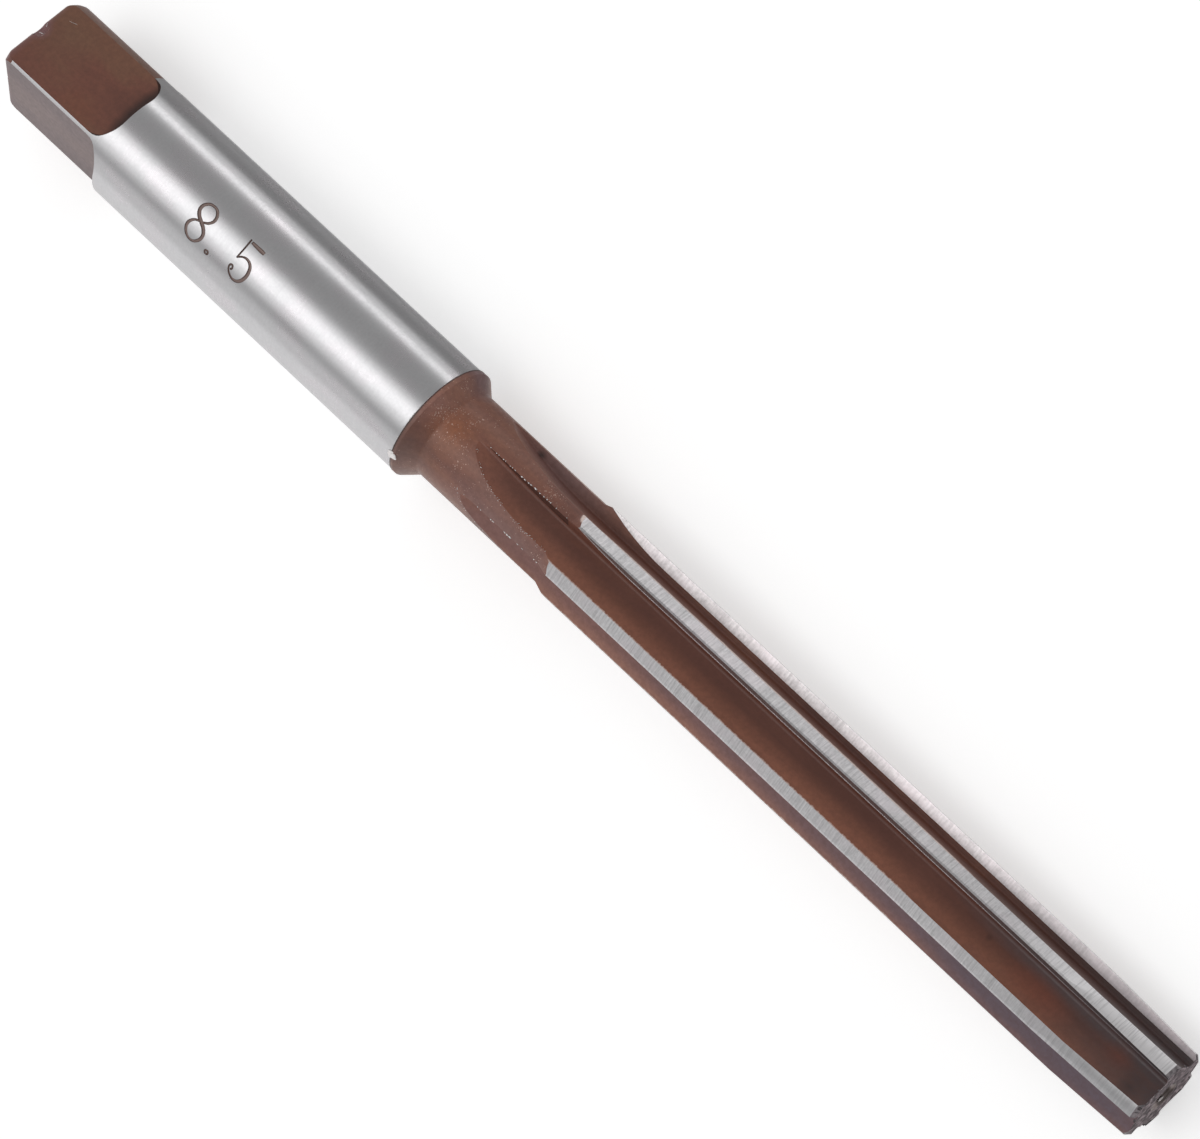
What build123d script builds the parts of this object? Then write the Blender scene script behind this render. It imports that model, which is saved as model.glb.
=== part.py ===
from build123d import *
import os
from math import acos, atan2, cos, degrees, radians, sin, tan

# A straight-fluted hand reamer, turned, milled and ground from one piece of tool steel.
# Millimetres. The axis runs along +X from the square tang to the cutting tip, and the origin is
# the centre of the tang's end face. +Z is up, and the reamer lies on its side: the widest gap
# between two teeth faces straight down, and the gap opposite it straight up.
# Angles about the axis are in degrees from +Y towards +Z.

# Lengths along the axis
overall_length = 120.0
shank_length = 45.1
neck_length = 14.9
lead_length = 9.6
body_start = shank_length + neck_length

# Shank, ground all over except for a narrow collar that the wheel leaves at its end. The chamfer
# at the tang's end is slightly crowned.
shank_radius = 5.0
collar_width = 0.42
collar_height = 0.05
shank_end_chamfer = 1.0
shank_end_crown = 0.12

# Neck, turned in a set-up of its own and so a little off the axis, with the cone that drops to it
# from the collar and the small one that rises to the teeth
neck_radius = 3.925
neck_offset = 0.1
neck_offset_angle = -6.7
shank_cone_angle = 41.0
step_cone_angle = 19.0
collar_rounding = 0.2
neck_fillet = 0.35

# Teeth: the cutting diameter, then a slow taper and a short chamfer that lead into the hole
cutting_radius = 4.25
lead_half_angle = 2.0
tip_chamfer = 0.3

# Teeth round the axis. Opposite teeth lie on one diameter, so that the reamer can be measured,
# and the three pitches between them differ, so that it doesn't chatter.
tooth_pitches = (62.0, 58.0, 60.0) * 2
land_angle = 15.4
margin_angle = 2.7
heel_drop = 0.09

# Flute: a radial cutting face, a rounded root and a slightly hollow floor
flute_root_fillet = 0.55
flute_floor_sag = 0.06
flute_cutter_radius = 40.0
flute_run_out = 1.2

# Square tang, milled a little off the axis with an end mill that rounds the shoulder's corners
tang_square = 8.0
tang_offset = 0.37
tang_angle = 63.3
tang_length = 11.45
tang_mill_radius = 2.5
tang_mill_width = 7.5
tang_end_rounding = 0.35

# Centre-drilled holes that carry the reamer between centres while it is ground
centre_cone_angle = 60.0
tang_centre_radius = 1.675
tang_pilot_radius = 0.8
tang_pilot_length = 2.0
tip_centre_radius = 1.325
tip_pilot_radius = 0.625
tip_pilot_length = 1.6

# Room by which a cutting tool's solid passes the surface that it opens
tool_overrun = 1.0


def ground_blank():
    """Shank, collar and tooth cylinder with its lead, before the neck is turned between them."""
    collar_radius = shank_radius + collar_height
    collar_start = shank_length - collar_width
    neck_middle = shank_length + neck_length / 2
    chamfer_start = overall_length - tip_chamfer
    lead_end_radius = cutting_radius - lead_length * tan(radians(lead_half_angle))
    end_rim = (0, shank_radius - shank_end_chamfer)
    shank_rim = (shank_end_chamfer, shank_radius)
    outline = [
        SagittaArc(end_rim, shank_rim, shank_end_crown),
        Polyline(
            shank_rim,
            (collar_start, shank_radius),
            (collar_start, collar_radius),
            (neck_middle, collar_radius),
            (neck_middle, cutting_radius),
            (chamfer_start - lead_length, cutting_radius),
            (chamfer_start, lead_end_radius),
            (overall_length, lead_end_radius - tip_chamfer),
            (overall_length, 0),
            (0, 0),
            end_rim,
        ),
    ]
    return revolve(make_face(outline), Axis.X)


def neck_tool():
    """The ring that turning the neck takes away, with the cone at each end of the neck."""
    outside = shank_radius + tool_overrun
    collar_radius = shank_radius + collar_height
    cone_slope = tan(radians(shank_cone_angle))
    step_slope = tan(radians(step_cone_angle))
    neck_start = shank_length + (collar_radius - neck_radius) / cone_slope
    neck_end = body_start - (cutting_radius - neck_radius) / step_slope
    outline = Polyline(
        (neck_start - (outside - neck_radius) / cone_slope, outside),
        (neck_start, neck_radius),
        (neck_end, neck_radius),
        (neck_end + (outside - neck_radius) / step_slope, outside),
        close=True,
    )
    profile = make_face(outline)
    foot = profile.vertices().sort_by_distance((neck_start, neck_radius))[0]
    ring = revolve(fillet(foot, neck_fillet), Axis.X)
    side = Vector(0, neck_offset, 0).rotate(Axis.X, neck_offset_angle)
    return Pos(side) * Rot(neck_offset_angle + 90, 0, 0) * ring


def on_circle(radius, angle):
    """A point of the section, given as its distance from the axis and its angle from the edge."""
    return (radius * cos(radians(angle)), radius * sin(radians(angle)))


def heel_radius():
    return cutting_radius - heel_drop


def flute_section(pitch):
    """One flute and the relief on the land of the tooth ahead of it, cut by one outline.

    Seen along the axis, the first coordinate runs out along the radial cutting face and the
    second away from it. The same cutter goes in deeper where the pitch is wider, so that every
    land comes out equally wide.
    """
    outside = 1.25 * cutting_radius
    heel = on_circle(heel_radius(), pitch - land_angle)
    root = (heel[0], 0)
    face_top = (outside, 0)
    margin = on_circle(cutting_radius, pitch - margin_angle)
    margin_top = on_circle(outside, pitch - margin_angle)
    outline = [
        Line(face_top, root),
        SagittaArc(root, heel, flute_floor_sag),
        Line(heel, margin),
        Line(margin, margin_top),
        Line(margin_top, face_top),
    ]
    section = make_face(outline)
    root_corner = section.vertices().sort_by_distance(root)[0]
    return fillet(root_corner, flute_root_fillet), root[0]


def flute_tool(pitch):
    """The space swept by the cutter: straight out of the tip, and up out of the neck on its arc."""
    section, floor = flute_section(pitch)
    full_depth = body_start - flute_run_out
    section = Plane.YZ.offset(full_depth) * section
    straight = extrude(section, overall_length + tool_overrun - full_depth, dir=(1, 0, 0))
    rise = neck_radius + flute_root_fillet - floor
    exit_angle = degrees(acos(1 - rise / flute_cutter_radius))
    cutter_axis = Axis((full_depth, floor + flute_cutter_radius, 0), (0, 0, -1))
    return straight + revolve(section, cutter_axis, exit_angle)


def first_edge_angle():
    """The place of the first cutting edge that lays the widest gap flat on a table."""
    heel_angle = radians(tooth_pitches[0] - land_angle)
    edge_to_normal = atan2(cutting_radius / heel_radius() - cos(heel_angle), sin(heel_angle))
    return 90 - degrees(edge_to_normal)


def flute_tools():
    tools = []
    angle = first_edge_angle()
    for pitch in tooth_pitches:
        tools.append(Rot(angle, 0, 0) * flute_tool(pitch))
        angle += pitch
    return tools


def tang_flat_tool(distance):
    """What the end mill clears above one flat of the tang, with the flat facing +Z."""
    reach = tang_length + tool_overrun
    plan = Pos(tang_length - reach / 2, 0) * Rectangle(reach, tang_mill_width)
    shoulder_corners = plan.vertices().group_by(Axis.X)[-1]
    plan = fillet(shoulder_corners, tang_mill_radius)
    return extrude(Pos(0, 0, distance) * plan, shank_radius)


def tang_tools():
    near = tang_square / 2 - tang_offset
    far = tang_square / 2 + tang_offset
    tools = []
    for turn, distance in ((0, near), (90, near), (180, far), (270, far)):
        tools.append(Rot(tang_angle - 90 + turn, 0, 0) * tang_flat_tool(distance))
    return tools


def centre_hole(radius, pilot_radius, pilot_length):
    """A countersink and its pilot, opening at the origin and going in along +X."""
    depth = (radius - pilot_radius) / tan(radians(centre_cone_angle / 2))
    widening = tool_overrun * tan(radians(centre_cone_angle / 2))
    outline = Polyline(
        (-tool_overrun, 0),
        (-tool_overrun, radius + widening),
        (depth, pilot_radius),
        (depth + pilot_length, pilot_radius),
        (depth + pilot_length, 0),
        close=True,
    )
    return revolve(make_face(outline), Axis.X)


def reamer():
    body = ground_blank() - neck_tool()
    collar_reach = collar_width / 2
    collar_rim = body.edges().filter_by_position(
        Axis.X, shank_length - collar_reach, shank_length + collar_reach
    )
    body = fillet(collar_rim, collar_rounding)
    for tool in tang_tools():
        body -= tool
    end_rim = body.faces().sort_by(Axis.X)[0].edges()
    body = fillet(end_rim, tang_end_rounding)
    for tool in flute_tools():
        body -= tool
    body -= centre_hole(tang_centre_radius, tang_pilot_radius, tang_pilot_length)
    tip_hole = centre_hole(tip_centre_radius, tip_pilot_radius, tip_pilot_length)
    body -= Pos(overall_length, 0, 0) * Rot(0, 0, 180) * tip_hole
    return body


os.makedirs("parts", exist_ok=True)
model = reamer()
print("reamer:", len(model.solids()), "solid,", round(model.volume / 1000, 3), "cm3")
export_step(model, "parts/reamer.step")
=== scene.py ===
# %% [markdown]
# # A hand reamer, half brown and half bright
#
# The real tool is one bar of steel. It is turned, its flutes and its square are milled, and it is
# hardened, which leaves a thin brown oxide all over. Then only the surfaces that measure or cut are
# ground bright again. The lesson follows the same order: a turned blank, then one cutter after the
# other, and every cut leaves its own finish behind.

# %% Load the measured part
import random
from math import acos, atan2, cos, degrees, pi, radians, sin, sqrt, tan

import bmesh
import bpy
from mathutils import Matrix, Vector


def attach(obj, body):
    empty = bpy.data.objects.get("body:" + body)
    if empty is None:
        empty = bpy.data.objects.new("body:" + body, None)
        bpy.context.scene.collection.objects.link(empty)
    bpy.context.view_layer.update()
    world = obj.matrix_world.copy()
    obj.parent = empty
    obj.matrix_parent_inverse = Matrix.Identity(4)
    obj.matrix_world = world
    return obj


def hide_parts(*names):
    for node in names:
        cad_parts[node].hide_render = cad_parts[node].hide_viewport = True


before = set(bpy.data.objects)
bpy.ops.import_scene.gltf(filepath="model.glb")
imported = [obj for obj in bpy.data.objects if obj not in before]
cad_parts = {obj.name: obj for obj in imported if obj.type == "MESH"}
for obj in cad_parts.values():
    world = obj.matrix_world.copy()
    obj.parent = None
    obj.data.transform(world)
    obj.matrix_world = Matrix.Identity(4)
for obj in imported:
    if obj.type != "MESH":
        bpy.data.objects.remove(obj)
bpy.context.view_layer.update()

# %% [markdown]
# ## Sizes
#
# The whole reamer is modelled in millimetres and made metres at the very end, because a cut between
# two meshes is more exact when the numbers aren't tiny. The axis runs along +X from the square tang
# to the tip. Angles round the axis are counted from +Y towards +Z.

# %% Sizes of the turned shape, in millimetres
whole = 120.0
shank_end = 45.1
teeth_start = 60.0
shank_r = 5.0
collar_r = 5.05
collar_start = 44.68
neck_r = 3.925
tooth_r = 4.25
lead, lead_half_deg = 9.6, 2
chamfer = 0.3
lead_end_r = tooth_r - lead * tan(radians(lead_half_deg))
around = 256
same_place = 1e-4

# %% [markdown]
# ## Finishes, by name first
#
# A cut can hand its own material to the surface that it leaves, so the finishes are named before
# the first cut and get their colours afterwards, when there is a surface to look at.

# %% Name the finishes
finish_names = ["ground_shank", "neck_oxide", "flute_oxide", "tang_oxide", "ground_land",
                "ground_face", "tip_face", "centre_hole", "engraving", "bare_chip", "corner_shade",
                "side_oxide", "wall_oxide_shaded", "tip_chamfer"]
finish = {name: bpy.data.materials.new(name) for name in finish_names}
index = {name: i for i, name in enumerate(finish_names)}


def to_object(name, bm):
    """Closes a bmesh into an object that knows all the finishes."""
    bmesh.ops.remove_doubles(bm, verts=bm.verts, dist=1e-5)
    bmesh.ops.recalc_face_normals(bm, faces=bm.faces)
    mesh = bpy.data.meshes.new(name)
    bm.to_mesh(mesh)
    bm.free()
    for each in finish.values():
        mesh.materials.append(each)
    made = bpy.data.objects.new(name, mesh)
    bpy.context.scene.collection.objects.link(made)
    return made


# %% [markdown]
# ## The turned blank
#
# On the lathe the tool is a row of cylinders and cones. Half of its outline is drawn as a few
# points and spun round the axis. A Screw modifier or a stack of cylinders would do as well, but one
# spun outline keeps every shoulder where the outline has it, and the points can be read like a
# drawing. The chamfer at the tang's end is slightly crowned, so it takes a few points more.

# %% Spin the blank
def spun(points, steps=around):
    """Spins an outline, given as distances along the axis and from it, once round the axis."""
    bm = bmesh.new()
    row = [bm.verts.new((x, 0, r)) for x, r in points]
    edges = [bm.edges.new(pair) for pair in zip(row, row[1:])]
    bmesh.ops.spin(bm, geom=row + edges, cent=(0, 0, 0), axis=(1, 0, 0), angle=2 * pi,
                   steps=steps, use_merge=True)
    return bm


neck_middle = (shank_end + teeth_start) / 2
crown_end, strips_end = 0.90, 9.6
crown = [(0, 4.22), (0.03, 4.40), (0.10, 4.57), (0.22, 4.73), (0.38, 4.86), (0.60, 4.95)]
blank = spun([(0, 0), *crown, (crown_end, shank_r), (strips_end, shank_r),
              (collar_start, shank_r), (collar_start, collar_r), (neck_middle, collar_r),
              (neck_middle, tooth_r), (whole - chamfer - lead, tooth_r),
              (whole - chamfer, lead_end_r), (whole, lead_end_r - chamfer), (whole, 0)])

# %% [markdown]
# Each face of the blank starts with the finish of its place. Along the tang only one strip of the
# cylinder was ground, the one between the two upper flats.

# %% Give the blank its finishes
bright_strip_deg, strip_half_deg = 108.3, 40
hair = 0.001
for face in blank.faces:
    centre = face.calc_center_median()
    off_strip = abs(degrees(atan2(centre.z, centre.y)) % 360 - bright_strip_deg) > strip_half_deg
    name = "ground_shank"
    if centre.x < crown_end or (centre.x < strips_end and off_strip):
        name = "tang_oxide"
    elif centre.x > whole - hair:
        name = "tip_face"
    elif centre.x > whole - chamfer:
        name = "tip_chamfer"
    elif centre.x > neck_middle + hair:
        name = "ground_land"
    elif centre.x > collar_start - hair and centre.yz.length > shank_r:
        name = "neck_oxide"
    face.material_index = index[name]
reamer = to_object("reamer_dressed", blank)
print("blank:", len(reamer.data.polygons), "faces")

# %% [markdown]
# ## How a cut is made
#
# A cutter is a closed mesh that stands for the room a tool sweeps. The Boolean modifier takes it
# away, and with its material mode on transfer the new surface wears the cutter's finish. Each round
# of cuts is made real at once, so that the next one meets a plain mesh.

# %% Make a round of cuts
def cut(cutters):
    """Takes closed cutter objects away from the reamer and removes them."""
    tools = bpy.data.collections.new("cutters")
    bpy.context.scene.collection.children.link(tools)
    for each in cutters:
        bpy.context.scene.collection.objects.unlink(each)
        tools.objects.link(each)
    step = reamer.modifiers.new("cut", "BOOLEAN")
    step.operation, step.solver, step.material_mode = "DIFFERENCE", "EXACT", "TRANSFER"
    step.operand_type, step.collection = "COLLECTION", tools
    bpy.context.view_layer.update()
    depsgraph = bpy.context.evaluated_depsgraph_get()
    result = bpy.data.meshes.new_from_object(reamer.evaluated_get(depsgraph), depsgraph=depsgraph)
    reamer.modifiers.clear()
    reamer.data = result
    for each in cutters:
        bpy.data.objects.remove(each)
    bpy.data.collections.remove(tools)
    bm = bmesh.new()
    bm.from_mesh(result)
    bmesh.ops.remove_doubles(bm, verts=bm.verts, dist=same_place)
    bmesh.ops.dissolve_degenerate(bm, edges=bm.edges, dist=same_place)
    open_edges = [e for e in bm.edges if not e.is_manifold]
    bm.to_mesh(result)
    bm.free()
    print("cut:", len(result.polygons), "faces,", len(open_edges), "open edges")


# %% [markdown]
# ## The square on the tang
#
# Four slabs are milled away, a little off centre as on the real tool, which is why the strips of
# cylinder between the flats aren't equally wide. Each slab is drawn from the side, with a round lip
# that turns the flat over at the end face, and extruded across. The end mill is round as well, so
# the two upright corners at the shoulder are beveled before the slab cuts. The foot of the shoulder
# gets a small bevel with a finish of its own, painted nearly black as shade in such a corner.

# %% Sizes of the square
flat_deg = 63.3
near_flat, far_flat = 3.63, 4.37
tang_length = 11.45
mill_width, mill_r = 7.5, 2.5
lip_r, shade_width = 0.4, 0.22


def bevel(bm, what, offset, affect, segments, material=-1):
    bmesh.ops.bevel(bm, geom=what, offset=offset, affect=affect, segments=segments, profile=0.5,
                    material=material)


def turn_round(bm, turn):
    """Turns a cutter round the reamer's axis, in degrees."""
    matrix = Matrix.Rotation(radians(turn), 3, "X")
    bmesh.ops.rotate(bm, cent=(0, 0, 0), matrix=matrix, verts=bm.verts)


def extrude(bm, faces, vec):
    out = bmesh.ops.extrude_face_region(bm, geom=faces)["geom"]
    bmesh.ops.translate(bm, vec=vec, verts=[v for v in out if isinstance(v, bmesh.types.BMVert)])


# %% Mill the square
def tang_slab(distance, turn, skin):
    bm = bmesh.new()
    side = [bm.verts.new((x, -mill_width / 2, distance + z)) for x, z in (
        (-1, -lip_r - 0.05), (-0.001, -lip_r), (-0.001, 0), (tang_length, 0), (tang_length, 5),
        (-1, 5))]
    bm.faces.new(side)
    bevel(bm, [side[2]], lip_r, "VERTICES", 7)
    extrude(bm, list(bm.faces), (0, mill_width, 0))
    corners = [e for e in bm.edges if all(v.co.x > tang_length - lip_r for v in e.verts)
               and abs(e.verts[0].co.z - e.verts[1].co.z) > 1]
    bevel(bm, corners, mill_r, "EDGES", 14)
    for face in bm.faces:
        face.material_index = index[skin]
    foot = [e for e in bm.edges if all(v.co.x > tang_length - mill_r - 0.05
                                       and abs(v.co.z - distance) < same_place for v in e.verts)]
    # The foot bevel gets the finish of painted shade.
    bevel(bm, foot, shade_width, "EDGES", 3, index["corner_shade"])
    turn_round(bm, turn)
    return to_object("slab", bm)


cut([tang_slab(distance, flat_deg - 90 + turn, skin)
     for turn, distance, skin in ((0, near_flat, "tang_oxide"), (90, near_flat, "side_oxide"),
                                  (180, far_flat, "tang_oxide"), (270, far_flat, "side_oxide"))])

# %% [markdown]
# ## The neck
#
# The neck was turned in a set-up of its own and runs a tenth of a millimetre off the axis. One
# closed outline spun to a ring makes the neck and both its cones at once, and moving the ring
# sideways before the cut gives the fault for nothing. The foot of the cone gets its round by a
# bevel of that one point. The ring is also turned a little, so that its seams miss the blank's.

# %% Turn the neck
cone_deg, step_deg = 41, 19
foot_bevel, seam_turn = 0.14, 0.35
off_axis, off_axis_deg = 0.1, -6.7


def neck_ring():
    outside = shank_r + 1
    cone, step = tan(radians(cone_deg)), tan(radians(step_deg))
    start = shank_end + (collar_r - neck_r) / cone
    stop = teeth_start - (tooth_r - neck_r) / step
    bm = bmesh.new()
    outline = [bm.verts.new((x, 0, r)) for x, r in (
        (start - (outside - neck_r) / cone, outside), (start, neck_r), (stop, neck_r),
        (stop + (outside - neck_r) / step, outside))]
    bm.faces.new(outline)
    bevel(bm, [outline[1]], foot_bevel, "VERTICES", 5)
    rim = list(bm.edges)
    bmesh.ops.delete(bm, geom=list(bm.faces), context="FACES_ONLY")
    bmesh.ops.spin(bm, geom=list(bm.verts) + rim, cent=(0, 0, 0), axis=(1, 0, 0), angle=2 * pi,
                   steps=around, use_merge=True)
    for face in bm.faces:
        face.material_index = index["neck_oxide"]
    turn_round(bm, seam_turn)
    fault = radians(off_axis_deg)
    bmesh.ops.translate(bm, vec=(0, off_axis * cos(fault), off_axis * sin(fault)), verts=bm.verts)
    return to_object("neck_ring", bm)


cut([neck_ring()])

# %% [markdown]
# ## Six flutes
#
# One cutter shapes the flute and the relief on the land beside it. Its section is drawn flat, with
# the first direction out along the radial cutting face. The root is rounded by a bevel of one
# point, and the floor is divided and let down a little, because the real wheel leaves it hollow. A
# spin about the wheel's own centre gives the curved run-out in the neck, and an extrusion the rest.
# A few cuts across, at places where the wear on the heels changes, give it points to be kept on.

# %% Sizes of the teeth
pitches = (62.0, 58.0, 60.0) * 2
land_angle, margin_angle = 15.4, 2.7
heel_drop = 0.09
heel_r = tooth_r - heel_drop
root_round, floor_sag = 0.25, 0.06
wear_stations = (64, 76, 88, 96, 101, 110)
wheel_r, full_depth = 40.0, teeth_start - 1.2
first_heel = radians(pitches[0] - land_angle)
first_edge = 90 - degrees(atan2(tooth_r / heel_r - cos(first_heel), sin(first_heel)))
edge_angles = [first_edge + sum(pitches[:i]) for i in range(6)]


def polar(r, angle):
    return Vector((r * cos(radians(angle)), r * sin(radians(angle))))


# %% Mill the flutes
def flute_wheel(pitch, turn, wall):
    heel = polar(heel_r, pitch - land_angle)
    margin = polar(tooth_r, pitch - margin_angle)
    outer = 1.25 * tooth_r
    bm = bmesh.new()
    corners = [Vector((outer, 0)), Vector((heel.x, 0)), heel, margin,
               polar(outer, pitch - margin_angle)]
    ring = [bm.verts.new((full_depth, p.x, p.y)) for p in corners]
    bm.faces.new(ring)
    bevel(bm, [ring[1]], root_round, "VERTICES", 6)
    floor = [e for e in bm.edges if all(abs(v.co.y - heel.x) < same_place for v in e.verts)
             and e.calc_length() > 1]
    bmesh.ops.subdivide_edges(bm, edges=floor, cuts=9)
    for v in bm.verts:
        above = (v.co.y - heel.x) / root_round
        if above < 1 and v.co.z < heel.y + same_place:
            along = v.co.z / heel.y
            v.co.y -= floor_sag * (1 - (2 * along - 1) ** 2) * (1 - max(above, 0))
    rise = neck_r + root_round - heel.x
    leave = acos(1 - rise / wheel_r)
    bmesh.ops.spin(bm, geom=list(bm.verts) + list(bm.edges) + list(bm.faces),
                   cent=(full_depth, heel.x + wheel_r, 0), axis=(0, 0, 1), angle=-leave, steps=26)
    start = [f for f in bm.faces if all(abs(v.co.x - full_depth) < 1e-5 for v in f.verts)]
    extrude(bm, start, (whole + 1 - full_depth, 0, 0))
    inside = [f for f in bm.faces if all(abs(v.co.x - full_depth) < 1e-5 for v in f.verts)]
    bmesh.ops.delete(bm, geom=inside, context="FACES_ONLY")
    for x in wear_stations:
        bmesh.ops.bisect_plane(bm, geom=list(bm.verts) + list(bm.edges) + list(bm.faces),
                               plane_co=(x, 0, 0), plane_no=(1, 0, 0))
    chord = (margin - heel).normalized()
    for face in bm.faces:
        middle = face.calc_center_median()
        off = (Vector((middle.y, middle.z)) - heel).cross(chord)
        relief = abs(off) < 0.01 and middle.x > full_depth and abs(face.normal.x) < 0.5
        walled = middle.x < full_depth and abs(face.normal.z) > 0.99 and middle.z < 0.01
        face.material_index = index["ground_land" if relief else wall if walled else "flute_oxide"]
    turn_round(bm, turn)
    return to_object("flute_wheel", bm)


# The walls of the first two run-outs get an oxide painted darker, as shade.
walls = ["wall_oxide_shaded", "wall_oxide_shaded"] + ["flute_oxide"] * 4
cut([flute_wheel(*each) for each in zip(pitches, edge_angles, walls)])

# %% [markdown]
# ## Grinding the cutting faces
#
# After hardening, a thin wheel runs along every tooth and takes three hundredths off the outer
# part of its cutting face. That leaves the narrow bright line beside each land and a small step
# below it. The wheel comes in on a curve, so the strip begins as a point, and its lower border
# wanders, because the flute was only milled.

# %% Grind the cutting faces
ground_depth, face_low = 0.03, 3.42
run_in_start, run_in_end, run_in_r = 59.2, 66, 24


def face_wheel(turn):
    bm = bmesh.new()
    row = [bm.verts.new((x, r, -ground_depth)) for x, r in
           ((run_in_end, face_low), (whole + 1, face_low), (whole + 1, 5), (run_in_start, 5),
            (run_in_start, 4.4))]
    flat = bm.faces.new(row)
    run_in = [e for e in bm.edges if set(e.verts) == {row[4], row[0]}]
    bmesh.ops.subdivide_edges(bm, edges=run_in, cuts=9)
    border = [e for e in bm.edges if set(e.verts) == {row[0], row[1]}]
    bmesh.ops.subdivide_edges(bm, edges=border, cuts=90)
    for v in bm.verts:
        x = v.co.x
        if run_in_start < x < run_in_end and v.co.y < 4.39:
            v.co.y = face_low + run_in_r - sqrt(run_in_r ** 2 - (run_in_end - x) ** 2)
        elif run_in_end < x < whole:
            v.co.y += (0.035 * sin(1.1 * x + turn) + 0.03 * sin(2.9 * x + 2 * turn)
                       + 0.02 * sin(7.3 * x))
    extrude(bm, [flat], (0, 0, 0.6))
    for face in bm.faces:
        face.material_index = index["ground_face"]
    turn_round(bm, turn)
    return to_object("face_wheel", bm)


cut([face_wheel(turn) for turn in edge_angles])

# %% [markdown]
# ## The two centre holes
#
# The reamer is held between two points of a grinding machine, which sit in a 60 degree cone at
# each end. Each cutter is again a spun outline, this time one that touches the axis. A hole is
# given as its cone's radius, its pilot's radius and length, its place and which way it goes in.

# %% Drill the centres
centre_cone_deg, round_the_centre = 60, 96


def centre_drill(cone_r, pilot_r, pilot, at, way):
    slope = tan(radians(centre_cone_deg / 2))
    deep = (cone_r - pilot_r) / slope
    bm = spun([(at - way, 0), (at - way, cone_r + slope), (at + way * deep, pilot_r),
               (at + way * (deep + pilot), pilot_r), (at + way * (deep + pilot), 0)],
              round_the_centre)
    for face in bm.faces:
        face.material_index = index["centre_hole"]
    return to_object("centre_drill", bm)


cut([centre_drill(1.675, 0.8, 2.0, 0, 1), centre_drill(1.325, 0.625, 1.6, whole, -1)])

# %% [markdown]
# ## Dents and chips
#
# The tang has been knocked: a shallow dent in the rim of the upper flat and a small one in the
# side. The brittle edges at the tip have crumbled too, at five places on each tooth and its flute,
# and deeper at a few roots. A squashed ball makes a dent or a chip, and a coarse one leaves the few
# broken faces that a real one shows.

# %% Knock the dents
def off_flat(normal_deg, distance, across, x):
    """A point on a flat of the tang: x along it, across it, at its distance from the axis."""
    n = polar(1, normal_deg)
    return Vector((x, *(distance * n + across * Vector((-n.y, n.x)))))


def dent(place, size, normal_deg, skin="tang_oxide", fine=3):
    bm = bmesh.new()
    bmesh.ops.create_icosphere(bm, subdivisions=fine, radius=1)
    bmesh.ops.scale(bm, vec=size, verts=bm.verts)
    for v in bm.verts:
        v.co *= 1 + 0.07 * sin(17 * v.co.x + 23 * v.co.y + 11 * v.co.z)
    turn_round(bm, normal_deg)
    bmesh.ops.translate(bm, vec=place, verts=bm.verts)
    for face in bm.faces:
        face.material_index = index[skin]
    return to_object("dent", bm)


side_deg = flat_deg + 90
cut([dent(off_flat(flat_deg, near_flat, -0.05, -0.12), (1.00, 0.50, 0.90), flat_deg),
     dent(off_flat(side_deg, near_flat, -0.45, -0.06), (0.40, 0.30, 0.36), side_deg)])

# %% Knock the chips
knocks = random.Random(7)
chips = []
for edge, pitch in zip(edge_angles, pitches):
    for off, r in ((-1.5, 3.80), (-8.5, 3.86), (-14.5, 3.74),
                   (0.22 * pitch, 3.12), (0.60 * pitch, 3.22)):
        place = Vector((whole - knocks.uniform(0.0, 0.08),
                        *polar(r + knocks.uniform(-0.05, 0.05),
                               edge + off + knocks.uniform(-2, 2))))
        size = (knocks.uniform(0.10, 0.24), knocks.uniform(0.10, 0.30),
                knocks.uniform(0.09, 0.20))
        chips.append(dent(place, size, edge + off, "tip_chamfer", 2))
for number, off, r, width in ((4, 9, 3.15, 0.50), (2, 38, 3.35, 0.55),
                              (2, 22, 3.10, 0.50), (3, 9, 3.15, 0.60)):
    root_deg = edge_angles[number] + off
    chips.append(dent(Vector((whole, *polar(r, root_deg))), (0.30, width, 0.26), root_deg - 90,
                      "tip_chamfer"))
cut(chips)

# %% [markdown]
# ## The engraved size
#
# The size stands on the shank in thin engraved strokes that swell and taper, as from a pantograph
# with a round-nosed cutter. So each stroke is a round tube that lies half out of the surface. A
# curve object is the natural tool: every point has its own radius. The strokes are drawn flat, with
# the distance along the shank and the distance round it, and each point is then laid on the shank.

# %% How a stroke is made
ride_r = shank_r + 0.05


def on_shank(x, round_mm):
    """A point just over the shank: x along it, and millimetres round it from where +Y is."""
    return Vector((x, ride_r * cos(round_mm / shank_r), ride_r * sin(round_mm / shank_r)))


def stroke(*points):
    """One stroke. Each point is x, mm round the shank, and half the stroke's width there."""
    curve = bpy.data.curves.new("stroke", "CURVE")
    curve.dimensions, curve.bevel_depth, curve.bevel_resolution = "3D", 1.0, 3
    curve.use_fill_caps, curve.resolution_u = True, 5
    line = curve.splines.new("BEZIER")
    line.bezier_points.add(len(points) - 1)
    for point, (x, round_mm, half) in zip(line.bezier_points, points):
        point.co = on_shank(x, round_mm)
        point.handle_left_type = point.handle_right_type = "AUTO"
        point.radius = sqrt(half ** 2 + (ride_r - shank_r) ** 2)
    holder = bpy.data.objects.new("stroke", curve)
    bpy.context.scene.collection.objects.link(holder)
    bpy.context.view_layer.update()
    depsgraph = bpy.context.evaluated_depsgraph_get()
    bm = bmesh.new()
    bm.from_mesh(bpy.data.meshes.new_from_object(holder.evaluated_get(depsgraph)))
    for face in bm.faces:
        face.material_index = index["engraving"]
    bpy.data.objects.remove(holder)
    return to_object("stroke", bm)


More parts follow.
